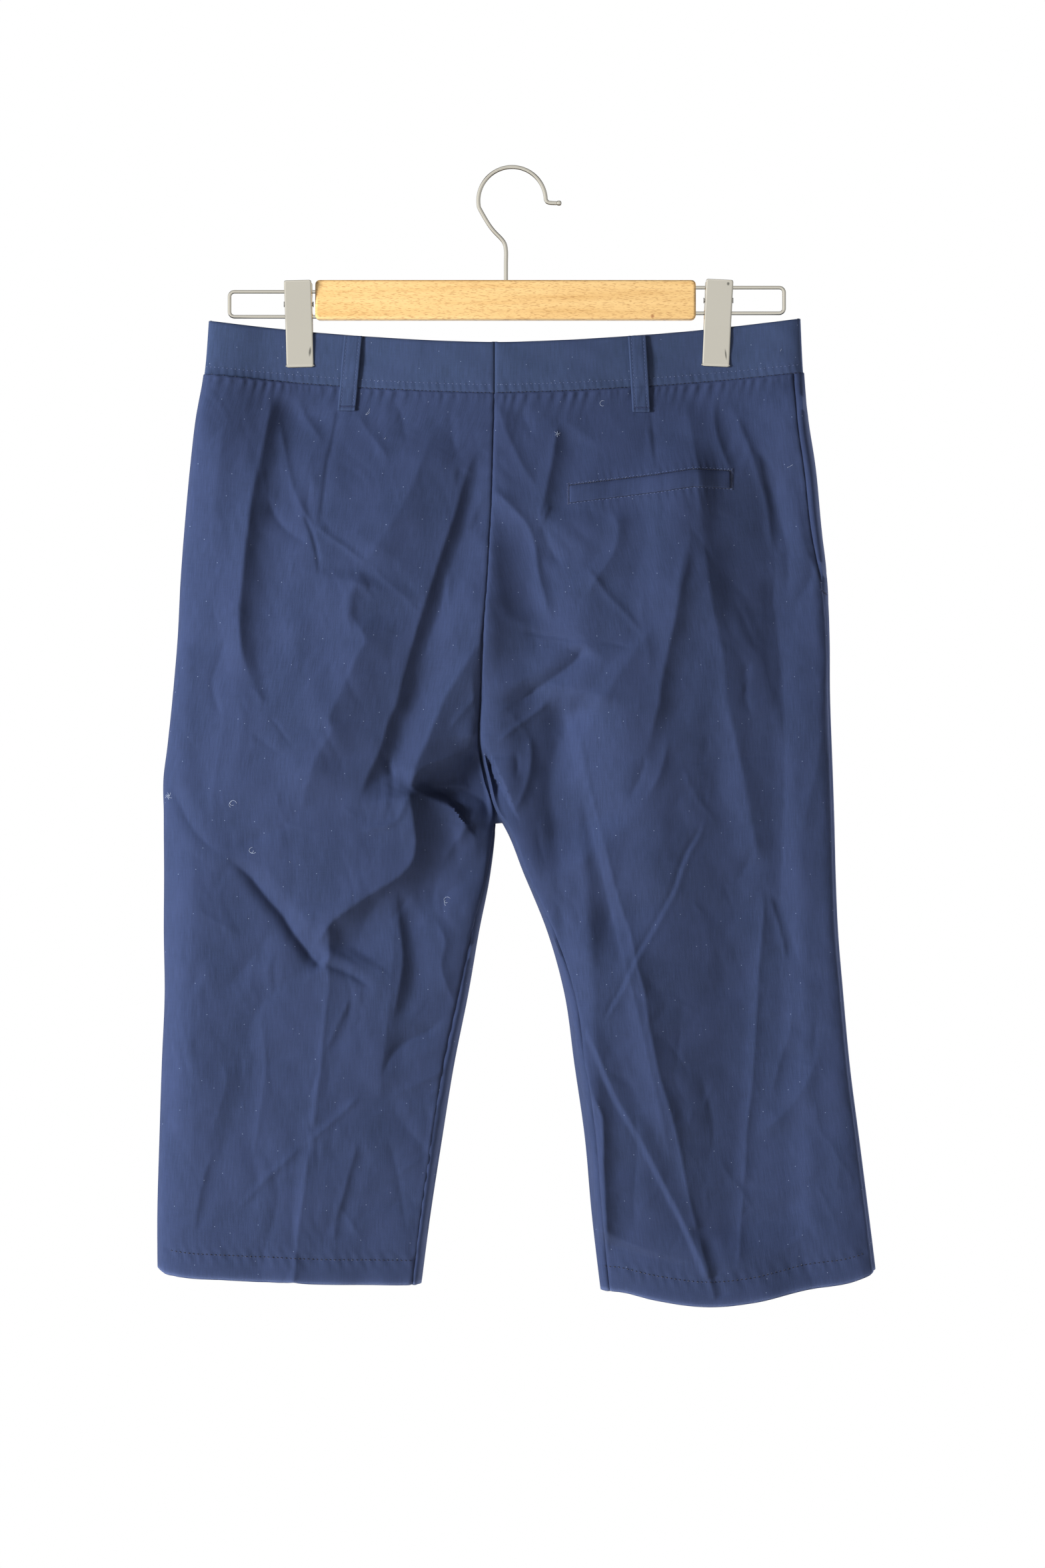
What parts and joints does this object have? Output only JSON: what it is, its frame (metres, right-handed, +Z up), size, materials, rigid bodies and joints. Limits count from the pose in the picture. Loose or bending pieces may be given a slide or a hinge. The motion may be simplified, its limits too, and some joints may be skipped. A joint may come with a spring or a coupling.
{
  "type": "capri pants on a clip hanger",
  "caption": "Cropped woven trousers hung by the waistband from a wooden hanger bar with two sprung wire-loop clips and a wire hook.",
  "frame": {"origin": "inside of the hook, straight above its shank, where a rail or a peg bears", "axes": "+Z up; the back of the garment faces -Y; +X is the wearer's right, and the hanger's bar lies along X"},
  "size_m": [0.4894, 0.0643, 0.7764],
  "materials": {
    "navy_twill": "matt woven cotton with a faint vertical streak and a soft sheen along its edges",
    "navy_zip": "woven zip tape with a fine nylon coil",
    "navy_button": "four-hole button, satin",
    "beech": "smooth pale beech with short dark flecks",
    "chrome": "bright plated steel",
    "spring_steel": "drawn spring wire"
  },
  "bodies": {
    "root": {"back_left": "navy_twill", "back_right": "navy_twill", "front_left": "navy_twill", "front_right": "navy_twill", "waistband_back_left": "navy_twill", "waistband_back_right": "navy_twill", "waistband_front_left": "navy_twill", "waistband_front_right": "navy_twill", "belt_loop_back_left": "navy_twill", "belt_loop_back_right": "navy_twill", "belt_loop_front_left": "navy_twill", "belt_loop_front_right": "navy_twill", "pocket_welt_back": "navy_twill", "fly_placket": "navy_twill", "fly_zip": "navy_zip", "waist_button": "navy_button", "hanger_bar": "beech", "hook": "chrome", "wire_loop_left": "chrome", "wire_loop_right": "chrome", "clip_left_jaw_back": "chrome", "clip_left_jaw_front": "chrome", "clip_left_pin": "chrome", "clip_left_spring": "spring_steel", "clip_right_jaw_back": "chrome", "clip_right_jaw_front": "chrome", "clip_right_pin": "chrome", "clip_right_spring": "spring_steel"}
  },
  "joints": []
}
